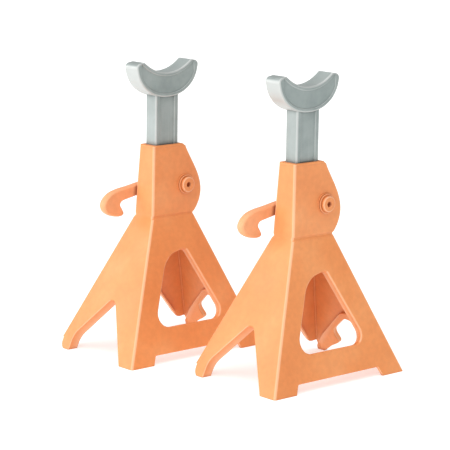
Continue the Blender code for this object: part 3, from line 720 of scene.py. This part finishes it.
def washer(name, low, high):
    """A washer between its two corners, low and high."""
    radius = high.x - PIVOT.x
    front = arc_profile(radius, low.y, WASHER_ROUND, -1, WASHER_ROUND_STEPS)
    rear = arc_profile(radius, high.y, WASHER_ROUND, 1, WASHER_ROUND_STEPS)
    return bored(turned(name, [*front, *reversed(rear)]), low.y, high.y)


def handle():
    """A round-edged bar from the eye on the pin to a curled end."""
    bar = smooth_open(HANDLE_OUTLINE, 6)
    start = math.atan2(bar[-1][1] - PIVOT.z, bar[-1][0] - PIVOT.x)
    end = math.atan2(bar[0][1] - PIVOT.z, bar[0][0] - PIVOT.x)
    eye = circle_part(HANDLE_EYE_RADIUS, start + HANDLE_EYE_BLEND, end - HANDLE_EYE_BLEND, 24)
    middle_y = (HANDLE_LOW.y + HANDLE_HIGH.y) / 2
    half = (HANDLE_HIGH.y - HANDLE_LOW.y) / 2
    levels = []
    for step in range(-HANDLE_ROUND_STEPS, HANDLE_ROUND_STEPS + 1):
        angle = math.pi / 2 * step / HANDLE_ROUND_STEPS
        levels.append((middle_y + half * math.sin(angle), -HANDLE_ROUND * (1 - math.cos(angle))))
    return bored(along_y("handle", [*bar, *eye], levels), HANDLE_LOW.y, HANDLE_HIGH.y)


def circle_part(radius, start, end, steps):
    """Points round the pivot between two angles, neither end kept."""
    return [(PIVOT.x + radius * math.cos(between(start, end, step / steps)),
             PIVOT.z + radius * math.sin(between(start, end, step / steps))) for step in range(1, steps)]


# Materials

def shader_of(name, roughness, metallic, specular=0.5):
    """A new material with its tree, its Principled shader and the piece's own coordinates."""
    material = bpy.data.materials.new(name)
    material.use_nodes = True
    tree = material.node_tree
    shader = tree.nodes["Principled BSDF"]
    shader.inputs["Roughness"].default_value = roughness
    shader.inputs["Metallic"].default_value = metallic
    shader.inputs["Specular IOR Level"].default_value = specular
    where = tree.nodes.new("ShaderNodeTexCoord")
    return material, tree, shader, where.outputs["Object"]


def noise(tree, where, scale, detail=3.0, roughness=0.5, stretch=None):
    """Soft noise from 0 to 1. Stretch scales the three axes."""
    if stretch:
        mapping = tree.nodes.new("ShaderNodeMapping")
        mapping.inputs["Scale"].default_value = stretch
        tree.links.new(where, mapping.inputs["Vector"])
        where = mapping.outputs["Vector"]
    node = tree.nodes.new("ShaderNodeTexNoise")
    node.inputs["Scale"].default_value = scale
    node.inputs["Detail"].default_value = detail
    node.inputs["Roughness"].default_value = roughness
    tree.links.new(where, node.inputs["Vector"])
    return node.outputs["Fac"]


def ramp(tree, value, *stops):
    """A colour ramp. Stops are (position, grey or colour)."""
    node = tree.nodes.new("ShaderNodeValToRGB")
    tree.links.new(value, node.inputs["Fac"])
    elements = node.color_ramp.elements
    for index, (position, colour) in enumerate(stops):
        element = elements[index] if index < 2 else elements.new(position)
        element.position = position
        element.color = (*((colour,) * 3 if isinstance(colour, float) else colour), 1.0)
    return node.outputs["Color"]


def mix(tree, factor, first, second, blend="MIX"):
    """Mixes two colours. Each of the three is a socket or a value."""
    node = tree.nodes.new("ShaderNodeMix")
    node.data_type = "RGBA"
    node.blend_type = blend
    for socket, value in zip((node.inputs[0], node.inputs[6], node.inputs[7]), (factor, first, second)):
        if isinstance(value, bpy.types.NodeSocket):
            tree.links.new(value, socket)
        elif isinstance(value, float):
            socket.default_value = value
        else:
            socket.default_value = (*value, 1.0)
    return node.outputs[2]


def bumped(tree, shader, *layers):
    """Chains bump nodes into the shader. Layers are (height socket, strength, distance in metres)."""
    normal = None
    for height, strength, distance in layers:
        bump = tree.nodes.new("ShaderNodeBump")
        bump.inputs["Strength"].default_value = strength
        bump.inputs["Distance"].default_value = distance
        tree.links.new(height, bump.inputs["Height"])
        if normal:
            tree.links.new(normal, bump.inputs["Normal"])
        normal = bump.outputs["Normal"]
    tree.links.new(normal, shader.inputs["Normal"])


def openness(tree, distance):
    """1 in the open, less where another surface stands within the distance."""
    node = tree.nodes.new("ShaderNodeAmbientOcclusion")
    node.samples = 12
    node.inputs["Distance"].default_value = distance
    return node.outputs["AO"]


def bends(tree):
    """1 on the outward bends that mark_bends found, 0 elsewhere."""
    node = tree.nodes.new("ShaderNodeAttribute")
    node.attribute_name = BEND
    return node.outputs["Fac"]


def painted_side_sheen(tree, strength):
    """Where the painted sheen goes: the strength on surfaces that look sideways or down, 0 on wide faces
    and those that look up.
    """
    where = tree.nodes.new("ShaderNodeTexCoord")
    parts = tree.nodes.new("ShaderNodeSeparateXYZ")
    tree.links.new(where.outputs["Normal"], parts.inputs["Vector"])
    size = tree.nodes.new("ShaderNodeMath")
    size.operation = "ABSOLUTE"
    tree.links.new(parts.outputs["Y"], size.inputs[0])
    sideways = ramp(tree, size.outputs["Value"], (0.4, strength), (0.8, 0.0))
    not_up = ramp(tree, parts.outputs["Z"], (0.2, 1.0), (0.6, 0.25))
    return mix(tree, 1.0, sideways, not_up, "MULTIPLY")


def orange_paint(name, peel, fading):
    """Satin enamel: slightly uneven colour, orange peel, painted highlights on the bends that also stand
    for paint worn thin, and painted shade in the hollows.

    Peel is how fine the orange peel is. Fading is the share of worn colour over the whole piece.
    """
    material, tree, shader, where = shader_of(name, 0.42, 0.0, 0.4)
    cloud = ramp(tree, noise(tree, where, 11.0, 4.0, 0.55), (0.3, PAINT_DEEP), (0.5, PAINT),
                 (0.72, PAINT_LIGHT))
    speck = ramp(tree, noise(tree, where, 160.0, 2.0), (0.35, 0.94), (0.65, 1.0))
    colour = mix(tree, fading, mix(tree, 0.55, PAINT, cloud), PAINT_WORN_AND_HIGHLIGHT)
    colour = mix(tree, 1.0, colour, speck, "MULTIPLY")
    # painted highlight: outward bends lightened towards the pale colour, standing for the light along the
    # folds and for paint worn thin there
    colour = mix(tree, ramp(tree, bends(tree), (0.0, 0.0), (1.0, 0.5)), colour, PAINT_WORN_AND_HIGHLIGHT)
    # painted shade: darker where another surface stands close, in hollows, holes and inside corners
    painted_shade = ramp(tree, openness(tree, 0.006), (0.35, 0.8), (0.85, 0.0))
    colour = mix(tree, painted_shade, colour, ORANGE_PAINTED_SHADE)
    tree.links.new(colour, shader.inputs["Base Color"])
    rough = ramp(tree, noise(tree, where, 26.0, 3.0), (0.3, 0.36), (0.7, 0.5))
    tree.links.new(rough, shader.inputs["Roughness"])
    bumped(tree, shader, (noise(tree, where, 420.0 * peel, 1.5), 0.16, 0.00012),
           (noise(tree, where, 38.0, 2.0), 0.25, 0.0004))
    return material


def grey_coating(name, streaks, side_sheen):
    """Satin grey coat over cast or rolled steel, with a painted sheen on its narrow sides, painted
    highlights on its bends that also stand for worn coat, and painted shade in its hollows.

    Streaks, where wanted, run up the bar. The third argument sets how bright the painted sheen on the
    narrow sides is, from 0 to 1.
    """
    material, tree, shader, where = shader_of(name, 0.36, 0.2, 0.55)
    cloud = ramp(tree, noise(tree, where, 24.0, 4.0, 0.6), (0.3, COATING_DEEP), (0.5, COATING),
                 (0.72, COATING_LIGHT))
    colour = mix(tree, 0.5, COATING, cloud)
    if streaks:
        lines = ramp(tree, noise(tree, where, 90.0, 3.0, 0.6, (1.0, 1.0, 0.04)), (0.3, 0.90), (0.7, 1.0))
        colour = mix(tree, 1.0, colour, lines, "MULTIPLY")
    # painted sheen: narrow sides, and surfaces that do not look up, lightened towards the pale coat as if
    # catching the light
    colour = mix(tree, painted_side_sheen(tree, side_sheen), colour, COATING_SHEEN_AND_WEAR)
    # painted highlight on the outward bends, which also stands for coat worn thin there
    colour = mix(tree, ramp(tree, bends(tree), (0.0, 0.0), (1.0, 0.6)), colour, COATING_SHEEN_AND_WEAR)
    # painted shade: darker where another surface stands close, in hollows and inside corners
    painted_shade = ramp(tree, openness(tree, 0.008), (0.35, 0.95), (0.9, 0.0))
    colour = mix(tree, painted_shade, colour, GREY_PAINTED_SHADE)
    tree.links.new(colour, shader.inputs["Base Color"])
    rough = ramp(tree, noise(tree, where, 60.0, 3.0), (0.3, 0.3), (0.7, 0.46))
    tree.links.new(rough, shader.inputs["Roughness"])
    grain = noise(tree, where, 700.0, 2.0)
    bumped(tree, shader, (grain, 0.2, 0.0001), (noise(tree, where, 60.0, 2.0), 0.2, 0.0003))
    return material


def bare_steel(name, colour, roughness, metallic):
    """Plated or oiled steel, with blotchy stains, uneven gloss and a fine grain."""
    material, tree, shader, where = shader_of(name, roughness, metallic)
    stain = ramp(tree, noise(tree, where, 70.0, 4.0, 0.6), (0.3, 0.72), (0.7, 1.0))
    tree.links.new(mix(tree, 1.0, colour, stain, "MULTIPLY"), shader.inputs["Base Color"])
    rough = ramp(tree, noise(tree, where, 120.0, 3.0), (0.3, roughness - 0.08), (0.7, roughness + 0.12))
    tree.links.new(rough, shader.inputs["Roughness"])
    bumped(tree, shader, (noise(tree, where, 900.0, 2.0), 0.15, 0.00008))
    return material


# Placing the pieces

def mark_bends(data, steepness):
    """Stores which vertices lie on an outward bend, leaving out flats and sharp cut edges.

    Only edges that rise by at least the steepness, as a share of their length, count. Where it is
    above 0, the bosses' rims are left out, and so is what lies near the middle plane, where the
    weld seam and the ratchet's channel are.
    """
    mesh = bmesh.new()
    mesh.from_mesh(data)
    layer = mesh.verts.layers.float.new(BEND)
    for vertex in mesh.verts:
        reach = math.hypot(vertex.co.x - PIVOT.x, vertex.co.z - PIVOT.z)
        near_middle = abs(vertex.co.y) < CHANNEL_HALF_WIDTH + BEND_MARGIN
        if steepness and (reach < BOSS_RADIUS + BEND_MARGIN or near_middle):
            continue
        steep = [edge for edge in vertex.link_edges
                 if abs(edge.verts[0].co.z - edge.verts[1].co.z) >= steepness * edge.calc_length()]
        bent = max([edge.calc_face_angle_signed(0.0) for edge in steep], default=0.0)
        vertex[layer] = float(BEND_LOW < bent < BEND_HIGH)
    mesh.to_mesh(data)
    mesh.free()


def placed(template, stand, body, slot, material, *nodes):
    """A copy of the template on that stand, riding on the body and standing for the CAD nodes."""
    mesh = template.data.copy()
    if template.name in BENT:
        mark_bends(mesh, BENT[template.name])
    mesh.transform(Matrix.Translation(place(stand)) @ Matrix.Scale(MM, 4))
    mesh.shade_smooth()
    mesh.set_sharp_from_angle(angle=SHARP_EDGE)
    piece = bpy.data.objects.new(f"{stand}_{template.name}_shown", mesh)
    bpy.context.scene.collection.objects.link(piece)
    weighted = piece.modifiers.new("normals", "WEIGHTED_NORMAL")
    weighted.keep_sharp = True
    evaluated(piece)
    piece.data.materials.clear()
    piece.data.materials.append(material)
    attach(piece, body)
    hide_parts(*(f"{stand}_{node}" for node in nodes))
    return piece


def add_floor():
    mesh = bmesh.new()
    bmesh.ops.create_grid(mesh, x_segments=1, y_segments=1, size=FLOOR_HALF_SIZE)
    data = bpy.data.meshes.new("floor")
    mesh.to_mesh(data)
    mesh.free()
    floor = bpy.data.objects.new("floor", data)
    floor.location.z = -FLOOR_GAP
    bpy.context.scene.collection.objects.link(floor)
    material, tree, shader, where = shader_of("floor_white", 0.9, 0.0, 0.1)
    tint = ramp(tree, noise(tree, where, 3.0), (0.3, FLOOR_DARK), (0.7, FLOOR_LIGHT))
    tree.links.new(tint, shader.inputs["Base Color"])
    shader.inputs["Emission Color"].default_value = WARM_WHITE
    shader.inputs["Emission Strength"].default_value = FLOOR_GLOW
    floor.data.materials.append(material)


def add_light():
    world = bpy.data.worlds.new("studio")
    world.use_nodes = True
    world.node_tree.nodes["Background"].inputs["Color"].default_value = WARM_WHITE
    world.node_tree.nodes["Background"].inputs["Strength"].default_value = WORLD_LIGHT
    bpy.context.scene.world = world
    for name, towards, strength, spread in SUNS:
        sun(name, towards, strength, spread)


def add_camera():
    camera = bpy.data.objects.new("camera", bpy.data.cameras.new("camera"))
    camera.data.sensor_width = SENSOR_WIDTH
    camera.data.lens = LENS
    camera.data.clip_start = CAMERA_NEAR
    camera.data.clip_end = CAMERA_FAR
    back = CAMERA_RIGHT.cross(CAMERA_UP)
    turn = Matrix((CAMERA_RIGHT, CAMERA_UP, back)).transposed().to_4x4()
    camera.matrix_world = Matrix.Translation(CAMERA_PLACE) @ turn
    bpy.context.scene.collection.objects.link(camera)
    bpy.context.scene.camera = camera
    bpy.context.scene.view_settings.view_transform = "Standard"


def sun(name, towards, strength, spread):
    """A soft light without falloff, shining from the direction given."""
    light = bpy.data.lights.new(name, "SUN")
    light.energy = strength
    light.angle = math.radians(spread)
    lamp = bpy.data.objects.new(name, light)
    lamp.rotation_euler = Vector(towards).to_track_quat("Z", "Y").to_euler()
    bpy.context.scene.collection.objects.link(lamp)


def main():
    paint = orange_paint("orange_enamel", 1.0, 0.0)
    handle_paint = orange_paint("handle_enamel", 0.7, 0.3)
    coat = grey_coating("grey_coat", True, 0.2)
    cast_coat = grey_coating("grey_cast_coat", False, 0.75)
    dark_steel = bare_steel("oiled_steel", OILED_STEEL, 0.42, 0.8)
    zinc = bare_steel("zinc_plate", ZINC_PLATE, 0.34, 0.95)

    body = tower()
    front = half_of(body, "front_shell", -1)
    rear = half_of(body, "rear_shell", 1)
    plan = (
        (front, "root", "tower_paint", paint, "front_shell"),
        (rear, "root", "tower_paint", paint, "rear_shell"),
        (top_plate(), "root", "tower_paint", paint, "top_plate"),
        (washer("front_washer", FRONT_WASHER_LOW, FRONT_WASHER_HIGH),
         "root", "tower_paint", paint, "front_washer"),
        (washer("rear_washer", REAR_WASHER_LOW, REAR_WASHER_HIGH),
         "root", "tower_paint", paint, "rear_washer"),
        (ratchet_post(), "post", "post_coating", coat, "ratchet_post"),
        (saddle(), "post", "post_coating", cast_coat, "saddle"),
        (cross_pin(), "handle", "tower_paint", paint, "cross_pin"),
        (handle(), "handle", "handle_paint", handle_paint, "handle"),
    )
    bpy.data.objects.remove(body)
    for stand in STANDS:
        for template, moves_with, slot, material, *nodes in plan:
            rides_on = "root" if moves_with == "root" else f"{stand}_{moves_with}"
            placed(template, stand, rides_on, slot, material, *nodes)
        for node, material in (("lower_guide", dark_steel), ("pawl", dark_steel), ("stop_pin", zinc),
                               ("pawl_key", zinc), ("handle_key", zinc)):
            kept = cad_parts[f"{stand}_{node}"]
            for slot in kept.material_slots:
                slot.material = material
    for template, *_ in plan:
        bpy.data.objects.remove(template)
    add_floor()
    add_light()
    add_camera()


main()
